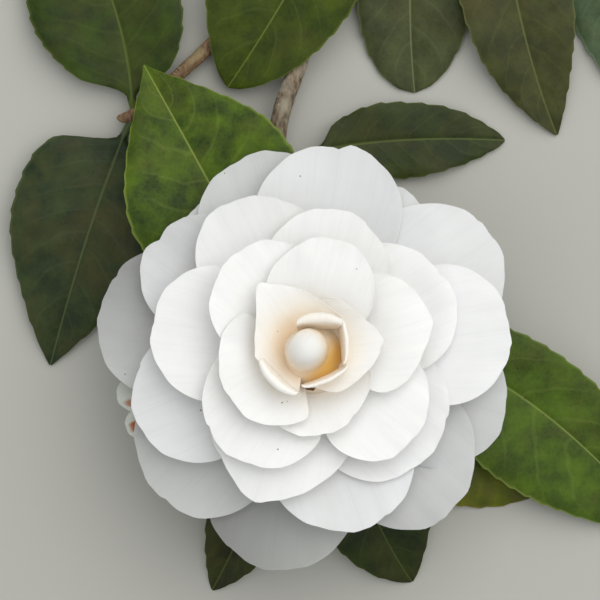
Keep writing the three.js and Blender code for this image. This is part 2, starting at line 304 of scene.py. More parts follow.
def run_tree(name, tree, values, host_mesh=None):
    """A plain mesh object from a node tree, with its inputs given by name."""
    host = add_object(name, host_mesh or bpy.data.meshes.new(name))
    modifier = host.modifiers.new("nodes", "NODES")
    modifier.node_group = tree
    for item in tree.interface.items_tree:
        if item.in_out == "INPUT" and item.name in values:
            modifier[item.identifier] = values[item.name]
    graph = bpy.context.evaluated_depsgraph_get()
    graph.update()
    mesh = bpy.data.meshes.new_from_object(host.evaluated_get(graph), depsgraph=graph)
    host.modifiers.remove(modifier)
    host.data = mesh
    return host


# %% [markdown]
# ## Bark
# The main twig is last year's wood: thin grey-brown bark with shallow lengthwise cracks. The
# side twigs are younger, smoother and redder. Bark doesn't shine, so its roughness is high.
# The cracks come from a noise stretched a few times along the stem, about 0.7 mm apart.

# %% Bark finishes
CRACK_SPACING = 0.7 * MM
BARK_PATCH = 5 * MM


def bark_finish(name, light, dark, lichen, roughness):
    material, tree, place = new_material(name)
    squeezed = add_node(tree, "ShaderNodeMapping", inputs={"Vector": place, "Scale": (1.0, 0.3, 1.0)})
    cracks = add_node(tree, "ShaderNodeTexNoise", inputs={
        "Vector": squeezed, "Scale": 1 / CRACK_SPACING, "Detail": 5.0, "Roughness": 0.65})
    patches = add_node(tree, "ShaderNodeTexNoise", inputs={
        "Vector": place, "Scale": 1 / BARK_PATCH, "Detail": 3.0, "Distortion": 0.6})
    depth = add_node(tree, "ShaderNodeMapRange", inputs={
        "Value": cracks, "From Min": 0.35, "From Max": 0.62})
    bark = add_node(tree, "ShaderNodeMix", RGBA, {
        0: depth, 6: linear(dark), 7: linear(light)})
    bloom_amount = add_node(tree, "ShaderNodeMapRange", inputs={
        "Value": patches, "From Min": 0.48, "From Max": 0.7, "To Max": 0.7})
    patched = add_node(tree, "ShaderNodeMix", RGBA, {
        0: bloom_amount, 6: bark.outputs[2], 7: linear(lichen)})
    relief = add_node(tree, "ShaderNodeBump", inputs={
        "Height": cracks, "Strength": 0.6, "Distance": 0.15 * MM})
    finish_material(tree, {
        "Base Color": patched.outputs[2], "Roughness": roughness, "Specular IOR Level": 0.3,
        "Normal": relief})
    return material


old_bark = bark_finish("grey_camellia_bark", "#8C7D68", "#4A3F31", "#A39C8B", 0.82)
young_bark = bark_finish("young_camellia_bark", "#8A6E50", "#553F2B", "#8F8460", 0.68)

# %% [markdown]
# ## Stems
# Each stem is one tapering limb that swells a little where a leaf joins it and ends in a
# slim bud. A path through a few points, with a thickness at every point, is turned into a
# tube by a node tree, which also lifts the skin by a noise so that the outline is not a
# perfect pipe. The path is a smooth curve through the points, spaced evenly along its length.

# %% Stem sizes
STEMS = {
    "main_stem": {
        "line": [[20.8, 144.7, 2.6], [8.4, 102.5, 3.9], [-2, 71.6, 5], [-6.8, 55.6, 6],
                 [-5.5, 28, 7.6], [0, -1.3, 9], [1.2, -11.5, 9.6]],
        "from": 2.6, "to": 1.9, "swell": 0.35, "knots": [0.08, 0.26, 0.61, 0.9], "bud": 5},
    "left_twig": {
        "line": [[8.4, 102.5, 3.9], [-4, 92, 3.4], [-12.5, 86.5, 3.2], [-28, 72.5, 3],
                 [-43, 59.2, 3.2], [-46.6, 58.6, 4]],
        "from": 1.9, "to": 1.5, "swell": 0.3, "knots": [0.5, 0.93], "bud": 4.5},
    "right_twig": {
        "line": [[20.2, 142.5, 2.7], [33, 139.5, 3.6], [50, 131, 4.6], [66, 122.5, 4.4], [70.5, 121, 4.6]],
        "from": 1.8, "to": 1.4, "swell": 0.3, "knots": [0.28, 0.62, 0.9], "bud": 4.5},
}

# %% A smooth path through points


def smooth_path(line, steps=4000):
    """Points evenly spaced along the centripetal Catmull-Rom curve through a line of points."""
    p = np.array(line, float)
    p = np.concatenate([[2 * p[0] - p[1]], p, [2 * p[-1] - p[-2]]])
    pieces = []
    for i in range(1, len(p) - 2):
        d0, d1, d2 = (np.linalg.norm(p[k + 1] - p[k]) ** 0.5 for k in (i - 1, i, i + 1))
        start = ((p[i] - p[i - 1]) / d0 - (p[i + 1] - p[i - 1]) / (d0 + d1) + (p[i + 1] - p[i]) / d1) * d1
        end = ((p[i + 1] - p[i]) / d1 - (p[i + 2] - p[i]) / (d1 + d2) + (p[i + 2] - p[i + 1]) / d2) * d1
        t = np.linspace(0, 1, 200)[:, None]
        pieces.append(p[i] + start * t + (3 * (p[i + 1] - p[i]) - 2 * start - end) * t ** 2
                      + (2 * (p[i] - p[i + 1]) + start + end) * t ** 3)
    path = np.concatenate(pieces)
    run = np.concatenate([[0], np.cumsum(np.linalg.norm(np.diff(path, axis=0), axis=1))])
    even = np.linspace(0, run[-1], steps)
    return np.stack([np.interp(even, run, path[:, k]) for k in range(3)], 1), run[-1]


def stem_radius(stem, t):
    radius = mix(stem["from"], stem["to"], t)
    for knot in stem["knots"]:
        radius = radius + stem["swell"] * np.exp(-((t - knot) * stem["length"] / 2.2) ** 2)
    bud_start = 1 - stem["bud"] / stem["length"]
    s = np.clip((t - bud_start) / (1 - bud_start), 0, 1)
    slim = mix(radius, stem["to"], np.minimum(1, s * 3)) * np.sqrt(np.maximum(0.04, 1 - s ** 2.4))
    return np.where(t > bud_start, slim, radius)


def on_stem(stem, t):
    """The point on a stem's middle line at a fraction of its length."""
    return stem["path"][int(round(t * (len(stem["path"]) - 1)))]


for name, stem in STEMS.items():
    stem["path"], stem["length"] = smooth_path(stem["line"])
    print(name, "is", round(stem["length"], 1), "mm long")

# %% The tree that skins a stem


def stem_tree(material):
    tree, given = new_tree("stem_from_path", {
        "Path": "Geometry", "Sides": "Int", "Lump height": "Float", "Lump size": "Float"})
    thickness = add_node(tree, "GeometryNodeInputNamedAttribute", inputs={"Name": "thickness"})
    curve = add_node(tree, "GeometryNodeMeshToCurve", inputs={0: given["Path"]})
    ring = add_node(tree, "GeometryNodeCurvePrimitiveCircle", inputs={
        "Resolution": given["Sides"], "Radius": 1.0})
    tube = add_node(tree, "GeometryNodeCurveToMesh", inputs={
        "Curve": curve, "Profile Curve": ring, "Scale": thickness, "Fill Caps": True})
    fineness = add_node(tree, "ShaderNodeMath", {"operation": "DIVIDE"}, {0: 1.0, 1: given["Lump size"]})
    lumps = add_node(tree, "ShaderNodeTexNoise", inputs={
        "Vector": add_node(tree, "GeometryNodeInputPosition"), "Scale": fineness,
        "Detail": 3.0})
    centred = add_node(tree, "ShaderNodeMath", {"operation": "SUBTRACT"}, {0: lumps, 1: 0.5})
    height = add_node(tree, "ShaderNodeMath", TIMES, {
        0: centred, 1: given["Lump height"]})
    push = add_node(tree, "ShaderNodeVectorMath", {"operation": "SCALE"}, {
        0: add_node(tree, "GeometryNodeInputNormal"), "Scale": height})
    lumpy = add_node(tree, "GeometryNodeSetPosition", inputs={0: tube, "Offset": push})
    smooth = add_node(tree, "GeometryNodeSetShadeSmooth", inputs={0: lumpy})
    return finish_tree(tree, smooth, material)


def path_mesh(name, points, radii):
    """A bare line of edges with a thickness at every point, for the stem tree."""
    mesh = bpy.data.meshes.new(name)
    mesh.from_pydata(points.tolist(), [(i, i + 1) for i in range(len(points) - 1)], [])
    mesh.attributes.new("thickness", "FLOAT", "POINT").data.foreach_set("value", radii)
    return mesh


# %% Make the stems
STATION = 0.5                      # mm between the rings of a stem's skin
trees = {"old": stem_tree(old_bark), "young": stem_tree(young_bark)}
for name, stem in STEMS.items():
    t = np.linspace(0, 1, int(stem["length"] / STATION))
    points = to_place([on_stem(stem, f) for f in t])
    age = "old" if name == "main_stem" else "young"
    piece = run_tree(name + "_limb", trees[age], {
        "Sides": 28, "Lump height": 0.45 * MM, "Lump size": 2.4 * MM},
        path_mesh(name, points, stem_radius(stem, t) * MM))
    piece.data.set_sharp_from_angle(angle=math.radians(60))
    stem["piece"] = fit_on(piece, name)
    low, high = np.array(piece.bound_box).min(0), np.array(piece.bound_box).max(0)
    print("  spans", ((high - low) / MM).round(1), "mm")

# %% [markdown]
# ## Corky spots
# Camellia twigs are dotted with lenticels, small corky pores about half a millimetre long
# through which the bark breathes. They are too many to place by hand, so a tree scatters
# them over the finished stems and gives each a random size.

# %% Scatter the lenticels
cork = grained("lenticel_cork", 0.6 * MM, "#8F7C62", "#C2B293", 0.9)


def lenticel_tree(material):
    tree, given = new_tree("lenticels_on_bark", {
        "Stem": "Object", "Per square metre": "Float", "Length": "Float", "Seed": "Int"})
    stem = add_node(tree, "GeometryNodeObjectInfo", inputs={"Object": given["Stem"]})
    spots = add_node(tree, "GeometryNodeDistributePointsOnFaces", inputs={
        "Mesh": stem.outputs["Geometry"], "Density": given["Per square metre"], "Seed": given["Seed"]})
    pore = add_node(tree, "GeometryNodeMeshIcoSphere", inputs={"Radius": 0.5, "Subdivisions": 1})
    size = add_node(tree, "FunctionNodeRandomValue", {"data_type": "FLOAT"}, {
        2: 0.5, 3: 1.0, "Seed": given["Seed"]})
    length = add_node(tree, "ShaderNodeMath", TIMES, {0: size.outputs[1], 1: given["Length"]})
    flat = add_node(tree, "ShaderNodeVectorMath", {"operation": "SCALE"}, {
        0: (1.0, 0.5, 0.35), "Scale": length})
    placed = add_node(tree, "GeometryNodeInstanceOnPoints", inputs={
        "Points": spots.outputs["Points"], "Instance": pore,
        "Rotation": spots.outputs["Rotation"], "Scale": flat})
    smooth = add_node(tree, "GeometryNodeSetShadeSmooth", inputs={0: placed})
    return finish_tree(tree, smooth, material)


scatter = lenticel_tree(cork)
for seed, (name, stem) in enumerate(STEMS.items()):
    spots = run_tree(name + "_lenticels", scatter, {
        "Stem": stem["piece"], "Per square metre": 70000.0, "Length": 0.75 * MM, "Seed": seed + 3})
    fit_on(spots, name)

# %% [markdown]
# ## The cut end
# The back end of the main twig was snipped with secateurs, so it shows pale wood inside a
# thin ring of bark, with a darker pith at the middle. A shallow disc of rings does it, laid
# just proud of the tube's flat cap, with its colour worked out from the distance to the pith.

# %% Pale wood on the cut
wood, tree, place = new_material("fresh_cut_wood")
ring_place = add_node(tree, "ShaderNodeUVMap", {"uv_map": "sheet_uv"})
ring_parts = add_node(tree, "ShaderNodeSeparateXYZ", inputs={0: ring_place})
ring_noise = add_node(tree, "ShaderNodeTexNoise", inputs={"Vector": place, "Scale": 1 / (0.5 * MM)})
ring_colour = add_node(tree, "ShaderNodeValToRGB", inputs={0: ring_parts.outputs[1]})
ramp = ring_colour.color_ramp
for stop, colour in ((0.10, "#8B6B45"), (0.18, "#D9C39A"), (0.80, "#E0CDA6"), (0.88, "#7E6A3A"),
                     (0.97, "#5B4A39")):
    ramp.elements.new(stop).color = linear(colour)
ramp.elements.remove(ramp.elements[-1])
ramp.elements.remove(ramp.elements[0])
cut_colour = add_node(tree, "ShaderNodeMix", TINTED, {
    0: ring_noise, 6: ring_colour, 7: linear("#D8C8AA")})
finish_material(tree, {
    "Base Color": cut_colour.outputs[2], "Roughness": 0.75, "Specular IOR Level": 0.3})


def cut_disc():
    stem = STEMS["main_stem"]
    middle = on_stem(stem, 0)
    out = middle - on_stem(stem, 0.01)
    out /= np.linalg.norm(out)
    side = np.cross(out, [0, 0, 1.0])
    side /= np.linalg.norm(side)
    up = np.cross(side, out)
    # front rings from pith to rim, then back rings from rim to the middle of the back
    profile = [(1.01 * r, 0.10 - 0.08 * r ** 4) for r in np.linspace(0.03, 1.0, 9)]
    profile += [(0.98, -0.2), (0.9, -0.4), (0.03, -0.4)]
    count = 40
    points = [middle + stem["from"] * r * (math.cos(a) * side + math.sin(a) * up) + h * out
              for r, h in profile for a in np.arange(count) * 2 * math.pi / count]
    faces = []
    for ring in range(len(profile) - 1):
        for k in range(count):
            a, b = ring * count + k, ring * count + (k + 1) % count
            faces.append((a, b, b + count, a + count))
    # each end of the profile is closed by a small fan of quads across its first or last ring
    for first in (0, (len(profile) - 1) * count):
        for k in range(count // 2 - 1):
            loop = (first + k, first + k + 1, first + count - 2 - k, first + count - 1 - k)
            faces.append(loop[::-1] if first == 0 else loop)
    faces = np.array(faces)
    points = np.array(points)
    if enclosed_volume(points, faces) < 0:
        faces = faces[:, ::-1]
    share = np.repeat([min(r, 1.0) if h > -0.1 else 1.0 for r, h in profile], count)
    return {"points": points, "faces": faces, "uv": np.stack([share, share], 1)}


fit_on(build_piece("cut_wood", [cut_disc()], wood), "main_stem")


# %% [markdown]
# ## Leaf skin
# A camellia leaf is thick and leathery with a waxed, glossy upper face and a dull paler
# underside. The midrib is sunk and pale, eight or nine pairs of side veins curve forward
# from it, and between them the blade is faintly netted. The veins are worked out in the
# shader from the leaf's UV map, because a vein is thinner than the mesh can show. Every leaf
# has its own pair of greens, since old leaves go dull and bluish and young ones yellow.

# %% One finish function for all leaves
SIDE_VEINS = 8.5                   # pairs along the blade
VEIN_LEAD = 0.20                   # how far a vein runs forward to the margin, part of length
STALK_SHARE = 0.12                 # part of the UV map that the leaf's stalk takes
NET_SIZE = 1.3 * MM                # the fine net between the veins
# soft noises in the blade: size, detail, roughness and distortion
LEAF_NOISES = {"wobble": (14 * MM, 2.0, 0.5, 0.0), "mottle": (6 * MM, 4.0, 0.55, 0.0),
               "wear": (13 * MM, 5.0, 0.6, 0.5), "fleck": (1.1 * MM, 3.0, 0.7, 0.0)}


def leaf_finish(name, deep, young, vein, tired):
    material, tree, place = new_material(name)
    noise = {key: add_node(tree, "ShaderNodeTexNoise", inputs={
        "Vector": place, "Scale": 1 / size, "Detail": detail, "Roughness": rough, "Distortion": warp})
        for key, (size, detail, rough, warp) in LEAF_NOISES.items()}
    uv = add_node(tree, "ShaderNodeUVMap", {"uv_map": "sheet_uv"})
    spot = add_node(tree, "ShaderNodeSeparateXYZ", inputs={0: uv})
    along = add_node(tree, "ShaderNodeMapRange", {"clamp": False}, {
        "Value": spot.outputs[1], "From Min": STALK_SHARE, "From Max": 1.0})
    across = add_node(tree, "ShaderNodeMapRange", {"clamp": False}, {"Value": spot, "To Min": -1.0})
    aside = add_node(tree, "ShaderNodeMath", {"operation": "ABSOLUTE"}, {0: across})
    right_hand = add_node(tree, "ShaderNodeMath", {"operation": "GREATER_THAN"}, {0: across, 1: 0.0})
    # side veins: lines of equal phase, alternate on the two sides of the midrib
    curved = add_node(tree, "ShaderNodeMath", {"operation": "POWER"}, {0: aside, 1: 1.35})
    level = add_node(tree, "ShaderNodeMath", TIMES_PLUS, {0: curved, 1: -VEIN_LEAD, 2: along})
    stagger = add_node(tree, "ShaderNodeMath", TIMES_PLUS, {0: right_hand, 1: 0.45, 2: noise["wobble"]})
    phase = add_node(tree, "ShaderNodeMath", TIMES_PLUS, {0: level, 1: SIDE_VEINS, 2: stagger})
    turn = add_node(tree, "ShaderNodeMath", {"operation": "PINGPONG"}, {0: phase, 1: 0.5})
    side_line = add_node(tree, "ShaderNodeMapRange", SMOOTH, {
        "Value": turn, "From Min": 0.015, "From Max": 0.085, "To Min": 1.0, "To Max": 0.0})
    margin_fade = add_node(tree, "ShaderNodeMapRange", SMOOTH, {
        "Value": aside, "From Min": 0.55, "From Max": 0.98, "To Min": 1.0, "To Max": 0.15})
    side_veins = add_node(tree, "ShaderNodeMath", TIMES, {0: side_line, 1: margin_fade})
    side_amount = add_node(tree, "ShaderNodeMath", TIMES, {0: side_veins, 1: 0.1})
    # midrib: from its distance in millimetres, wider at the foot
    from_rib = add_node(tree, "ShaderNodeAttribute", {"attribute_name": "from_rib"})
    rib_width = add_node(tree, "ShaderNodeMapRange", inputs={"Value": along, "To Min": 0.6, "To Max": 0.25})
    rib_amount = add_node(tree, "ShaderNodeMapRange", SMOOTH, {
        "Value": from_rib.outputs["Fac"], "From Min": 0.05, "From Max": rib_width,
        "To Min": 0.6, "To Max": 0.0})
    # two greens in soft patches, worn spots, the net, the pale margin and a few brown flecks
    mottle_amount = add_node(tree, "ShaderNodeMapRange", inputs={
        "Value": noise["mottle"], "From Min": 0.36, "From Max": 0.66})
    wear_amount = add_node(tree, "ShaderNodeMapRange", inputs={
        "Value": noise["wear"], "From Min": 0.47, "From Max": 0.68, "To Max": 0.3 + 0.5 * tired})
    net = add_node(tree, "ShaderNodeTexVoronoi", {"feature": "DISTANCE_TO_EDGE"}, {
        "Vector": place, "Scale": 1 / NET_SIZE})
    net_amount = add_node(tree, "ShaderNodeMapRange", inputs={
        "Value": net.outputs["Distance"], "From Max": 0.2, "To Min": 0.05, "To Max": 0.0})
    margin_amount = add_node(tree, "ShaderNodeMapRange", SMOOTH, {
        "Value": aside, "From Min": 0.955, "From Max": 0.995, "To Max": 0.45})
    fleck_amount = add_node(tree, "ShaderNodeMapRange", inputs={
        "Value": noise["fleck"], "From Min": 0.70 - 0.12 * tired, "From Max": 0.76 - 0.06 * tired,
        "To Max": 0.75})
    under = add_node(tree, "ShaderNodeAttribute", {"attribute_name": "under"}).outputs["Fac"]
    under_amount = add_node(tree, "ShaderNodeMath", TIMES, {0: under, 1: 0.55})
    colour = add_node(tree, "ShaderNodeMix", RGBA, {0: mottle_amount, 6: linear(deep), 7: linear(young)})
    for amount, tint in ((wear_amount, "#45401C"), (net_amount, vein), (side_amount, vein),
                         (rib_amount, vein), (margin_amount, vein), (fleck_amount, "#2C2010"),
                         (under_amount, "#8B9A5C")):
        colour = add_node(tree, "ShaderNodeMix", RGBA, {0: amount, 6: colour.outputs[2], 7: linear(tint)})
    # gloss: waxed above, dull below, uneven in both
    dull = add_node(tree, "ShaderNodeMapRange", inputs={"Value": under, "To Min": 0.4, "To Max": 0.62})
    uneven = add_node(tree, "ShaderNodeMath", TIMES_PLUS, {0: noise["mottle"], 1: 0.18, 2: dull})
    # relief: sunk veins and the lightly pebbled net between them
    sunk = add_node(tree, "ShaderNodeMath", TIMES_PLUS, {0: side_veins, 1: -0.8, 2: net.outputs["Distance"]})
    relief = add_node(tree, "ShaderNodeBump", inputs={
        "Height": sunk, "Strength": 0.15, "Distance": 0.12 * MM})
    finish_material(tree, {
        "Base Color": colour.outputs[2], "Roughness": uneven, "Specular IOR Level": 0.2, "IOR": 1.45,
        "Coat Weight": 0.02, "Coat Roughness": 0.3, "Normal": relief, "Subsurface Weight": 0.05,
        "Subsurface Radius": (0.5, 1.0, 0.2), "Subsurface Scale": 1 * MM})
    return material


# %% [markdown]
# ## Leaves
# A leaf is set out along its midrib: a stalk that grows out of its twig, then a blade whose
# half widths follow one outline rule, broad or narrow at the foot, blunt or drawn out at the
# tip. The two halves fold up a little from the midrib, roll back at the margin, puff up
# between the side veins and end in small forward teeth about 2.4 mm apart. A leaf could be a
# flat card with a picture on it, but these are seen close, so they are modelled in full.

# %% Leaf sizes
# each leaf: its stem and how far along it; foot, bend and tip of the midrib; half widths to
# the left and right of it; fold in degrees; powers that shape the foot and the tip; deep
# green, young green and vein; how worn the blade is, from 0 to 1
LEAF_KEYS = ("stem", "share", "foot", "bend", "tip", "half", "fold", "powers", "greens", "tired")
LEAVES = {
    "leaf_behind_bloom": (
        "main_stem", 0.912, (-7, 11.5, 12.8), (-23, 42, 16), (-39.6, 71.3, 8.4), (22, 22),
        7, (1.1, 1.3), ("#263A04", "#4C650B", "#8B9A48"), 0.1),
    "leaf_left_low": (
        "left_twig", 0.93, (-44.9, 54.4, 3), (-54.5, 30, 6.4), (-63.3, -2.3, 0.5), (18, 20.5),
        6, (0.55, 1), ("#1D2B14", "#333F1F", "#525F3C"), 0.6),
    "leaf_left_high": (
        "left_twig", 0.93, (-42.9, 63.2, 3.7), (-44, 90, 5.6), (-68, 131, 0.5), (20.5, 17),
        6, (0.75, 1), ("#1E2D03", "#33450A", "#5A682A"), 0),
    "leaf_top_middle": (
        "main_stem", 0.1, (12.6, 126.2, 8.6), (3, 97, 14), (-19.3, 66.3, 3.2), (16, 21),
        8, (0.9, 0.75), ("#2A3905", "#41500A", "#6F7B34"), 0),
    "leaf_top_right": (
        "right_twig", 0.3, (30.2, 131.5, 2.6), (23.5, 99, 2.4), (27, 65.2, 0.5), (15, 13.4),
        4, (1, 0.6), ("#2F371A", "#464E2A", "#737C55"), 0),
    "leaf_far_right_high": (
        "right_twig", 0.62, (46.9, 123.6, 5.6), (49.5, 84, 8), (62.2, 54.7, 0.5), (14, 14),
        7, (0.8, 1), ("#2F3316", "#434722", "#666D3E"), 0.5),
    "leaf_right_edge": (
        "right_twig", 0.9, (70.6, 113.8, 2.6), (79, 88, 1.6), (83.5, 60, 0.5), (12.5, 12.5),
        3, (0.9, 1), ("#33462C", "#4A5E40", "#768A69"), 0),
    "leaf_right": (
        "main_stem", 0.945, (9, 8, 9.8), (50, 2, 12), (86, -41, 0.5), (14, 19.5),
        5, (1.1, 0.7), ("#33480A", "#4B6412", "#84934A"), 0.3),
    "leaf_right_low": (
        "main_stem", 0.972, (11, -7, 6.6), (37, -19, 0.9), (62.8, -30.7, 0.5), (13, 17.5),
        2, (0.8, 0.8), ("#4A5A08", "#6C7410", "#7C7030"), 0.7),
    "leaf_below": (
        "main_stem", 0.985, (8.5, -13.5, 7.2), (14, -38, 9.4), (26.3, -56, 0.5), (16, 13),
        5, (0.8, 0.9), ("#18230A", "#29350D", "#4C5A25"), 0),
    "leaf_below_left": (
        "main_stem", 0.975, (-6, -11, 7.6), (-11, -36, 8), (-23.2, -58, 0.5), (10.5, 10.5),
        5, (0.8, 0.9), ("#1E210A", "#2F3510", "#535C26"), 0.6),
    "leaf_under_rim": (
        "main_stem", 0.64, (3, 50.6, 4.2), (22, 54.6, 3.6), (49.3, 53.4, 0.5), (9.5, 9.5),
        4, (0.7, 0.8), ("#232C0F", "#353F18", "#5A6632"), 0),
}
PETIOLE_RADIUS = 1.05
LEAF_THICK = 0.5
TOOTH_PITCH = 2.4
TOOTH_HEIGHT = 0.55
STALK_ROWS = 8
BLADE_COLUMNS = 35
LEAF_STATION = 0.6                 # mm between the rows of a blade

# %% One leaf as a sheet


def leaf_frames(spec):
    """The middle line of a leaf from inside its twig to its tip, with side and up at each point."""
    foot, bend, tip = (np.array(spec[key], float) for key in ("foot", "bend", "tip"))
    start = on_stem(STEMS[spec["stem"]], spec["share"])
    length = np.linalg.norm(bend - foot) / 2 + np.linalg.norm(tip - bend) / 2
    s = np.linspace(0, 1, int(length / LEAF_STATION))[:, None]
    stalk = np.linspace(0.25, 1, STALK_ROWS)[:-1, None]
    rib = (1 - s) ** 2 * foot + 2 * s * (1 - s) * bend + s ** 2 * tip
    line = np.concatenate([start + (foot - start) * stalk, rib])
    heading = np.gradient(line, axis=0)
    for _ in range(3):
        heading[1:-1] = (heading[:-2] + 2 * heading[1:-1] + heading[2:]) / 4
    heading /= np.linalg.norm(heading, axis=1, keepdims=True)
    side = np.cross(heading, [0, 0, 1.0])
    side /= np.linalg.norm(side, axis=1, keepdims=True)
    up = np.cross(side, heading)
    share_along = np.concatenate([(stalk - 1) * STALK_SHARE / (1 - STALK_SHARE), s])
    return line, side, up, share_along, length


def leaf_sheet(spec, seed):
    rng = np.random.default_rng(seed)
    line, side, up, s, length = leaf_frames(spec)
    blade = ease(s, 0.0, 0.12)
    on_blade = np.clip(s, 0, 1)
    k = np.linspace(-1, 1, BLADE_COLUMNS)[None, :]
    v = np.sign(k) * np.abs(k) ** 1.5
    foot_power, tip_power = spec["powers"]
    widest = foot_power / (foot_power + tip_power)
    peak = widest ** foot_power * (1 - widest) ** tip_power
    outline = on_blade ** foot_power * (1 - on_blade) ** tip_power / peak
    edge = mix(PETIOLE_RADIUS, 0.35, on_blade)
    half = np.where(v < 0, *(edge + (h - edge) * outline for h in spec["half"]))
    waver = 1 + 0.012 * np.sin(2 * math.pi * (2.3 * s + rng.uniform())) * np.sign(v)
    teeth = TOOTH_HEIGHT * ((s * length / TOOTH_PITCH) % 1 - 0.5) * (np.abs(v) > 0.999)
    teeth = teeth * ease(s, 0.10, 0.2) * (1 - ease(s, 0.90, 0.97))
    x_blade = v * half * waver * math.cos(math.radians(spec["fold"])) + np.sign(v) * teeth
    rise = math.sin(math.radians(spec["fold"]))
    lift = rise * np.abs(v) ** 1.2 * half
    phase = 2 * math.pi * (SIDE_VEINS * (s - VEIN_LEAD * np.abs(v) ** 1.35) + 0.45 * (v > 0))
    puff_area = np.clip(4 * np.abs(v) * (1.02 - np.abs(v)), 0, 1) ** 0.7
    puff_area = puff_area * ease(s, 0.03, 0.15) * (1 - ease(s, 0.86, 1.0))
    puff = 0.18 * (0.5 - 0.5 * np.cos(phase)) * puff_area
    roll_back = -0.05 * half * np.abs(v) ** 7
    ripple = 0.55 * np.sin(2 * math.pi * (2.6 * s + rng.uniform()) + 1.3 * (v > 0)) * np.abs(v) ** 2.5
    sway = 0.35 * np.sin(2 * math.pi * (1.2 * s + rng.uniform())) * v
    fade = ease(s, 0.05, 0.25) * (1 - 0.6 * ease(s, 0.8, 1.0))
    groove = -0.22 * np.exp(-(v * half / 0.8) ** 2)
    keel = 0.55 * (1.1 - on_blade) * np.exp(-(v * half / 0.9) ** 2)
    thick = LEAF_THICK / 2 * (1 - 0.5 * np.abs(v) ** 8) * mix(1, 0.75, on_blade)
    surface = lift + puff + fade * (roll_back + ripple + sway)
    a = np.radians(90 - 82 * k)
    sheets = []
    for sign, dent in ((1, groove), (-1, -keel)):
        x = mix(PETIOLE_RADIUS * np.cos(a), x_blade, blade)
        h = mix(sign * PETIOLE_RADIUS * np.sin(a), surface + sign * thick + dent, blade)
        sheets.append(line[:, None] + x[..., None] * side[:, None] + h[..., None] * up[:, None])
    sheet = close_sheet(*sheets, (v + 1) / 2, s * (1 - STALK_SHARE) + STALK_SHARE)
    from_rib = np.where(s < 0, 0, np.abs(v * half)).ravel()
    sheet["from_rib"] = np.concatenate([from_rib, from_rib])
    return sheet


# %% Make the leaves
for seed, (name, row) in enumerate(LEAVES.items()):
    spec = dict(zip(LEAF_KEYS, row))
    skin = leaf_finish(name.replace("leaf", "camellia_leaf") + "_skin", *spec["greens"], spec["tired"])
    fit_on(build_piece(name + "_blade", [leaf_sheet(spec, seed + 40)], skin), name)

# %% [markdown]
# ## The bloom
# The flower is a formal double: about three dozen white petals laid like roof tiles in rings
# round a closed heart, with no stamens showing. Each ring lies on its own flared surface, a
# little higher than the one before, and each petal takes the next small step up, so no petal
# cuts its neighbour. The petals could be instanced from one shape, but on the real flower
# their turn, reach and width all differ, so each is worked out from its own three sizes.

# %% Sizes of the bloom
SEAT_HEIGHT = 22.0                 # petal roots above the floor
LEAN = math.radians(7)             # the flower leans back over the stem
PETAL_ROOT_RADIUS = 5.0
PETAL_ROOT_HALF_WIDTH = 3.2
PETAL_EDGE_CUP = 0.5
PETAL_LIP = 0.8                    # lift of the rim
PETAL_SIDE_FILL = 1.03             # the rim is a half circle this much wider than the half width

# for each ring: spread, height of rim and of root over the seat, and arch
RING_SURFACES = [(53, -2, 0, 4), (51, 5, 1.5, 3), (43, 11.5, 3, 2), (34.5, 17, 4.5, 1),
                 (27, 22, 9, 0.5), (18, 26.5, 17, 0), (9, 30, 22, 0)]

# petals of each ring, lowest first: turn, reach, half width, then point and roundness
RINGS = {
    "petals_outermost": [
        (-99, 50.9, 17.5), (-167.8, 46, 4.4), (-158, 46.1, 3.4), (-139.5, 48.2, 17.5), (128.5, 44.7, 9),
        (105.5, 50.7, 16.5), (166.5, 50.8, 17.5), (-16, 49, 17.5), (-45, 50.2, 17)],
    "petals_second_ring": [
        (57.5, 46.3, 12), (32.5, 52.8, 17), (81, 51, 17), (142, 45.3, 14.5), (-159.5, 42.6, 15.8),
        (-71.5, 43, 17), (7.5, 48.7, 16.2)],
    "petals_third_ring": [
        (-38, 37.7, 16.5), (28, 37.2, 16), (115, 39.6, 14.8), (-108.5, 36.7, 16.5, 0.3),
        (169.5, 36.8, 15.5)],
    "petals_fourth_ring": [
        (75.5, 33.7, 14.5), (-37.5, 32.6, 13.5), (-127, 30.1, 14.8), (14.5, 30.3, 14, 0.25)],
    "petals_fifth_ring": [
        (-77.5, 20.1, 13), (129, 27.4, 13.5), (-150, 21.2, 13.8), (75.5, 25.7, 12.2),
        (4.5, 17.9, 10.6, 0.5)],
    "petals_inner_cup": [
        (127, 17.7, 10.5, 1), (-134, 12, 5.5, 0, 0.2), (-65, 9.7, 5.5, 0, 0.2), (5, 9.7, 5, 0, 0.2),
        (90, 7.4, 5, 0, 0.2)],
}
# petals rolled back at the rim, by turn: radius of the curl, how far the wall under it runs
# inwards and how far the petal stands aside, all in mm, then how much amber painted shade its inside takes
ROLLED_RIMS = {-134: (0.95, 2.2, 0.5, 0.1), -65: (0.38, 2.0, 0.9, 0.3),
               5: (0.38, 1.2, 0.2, 0.4), 90: (1.1, 0.8, -3.0, 0.2)}
WRAPPED_ROOT = {127: (8.1, 7.8)}   # turn: mm that one side of the root reaches on round the bud, half width
SHOULDER = {127: (0.6, 0.75)}      # turn: how the other side slopes, near the tip and far from it
CUP_DEPTH = 9.0                    # how far the rolled petals drop from rim to root
CUP_LIFT = 1.2                     # their rims stand this much over their ring's surface
NOTCHES = {81: 1.1, 142: 0.9, 32.5: 0.5, -45: 0.5, 166.5: 0.4}     # turn: depth in mm
# faded petals, by turn: where along and across them the brown patch is, and how strong it is
FADED = {-167.8: (0.93, 0.5, 0.8), -158: (0.945, 0.05, 1.0)}
# petals under others are pressed down at the left and right side by this much, mm, by turn
PRESSED = {57.5: (0.7, 0.7), 32.5: (0.9, 0.0), -158: (0.0, 0.3)}
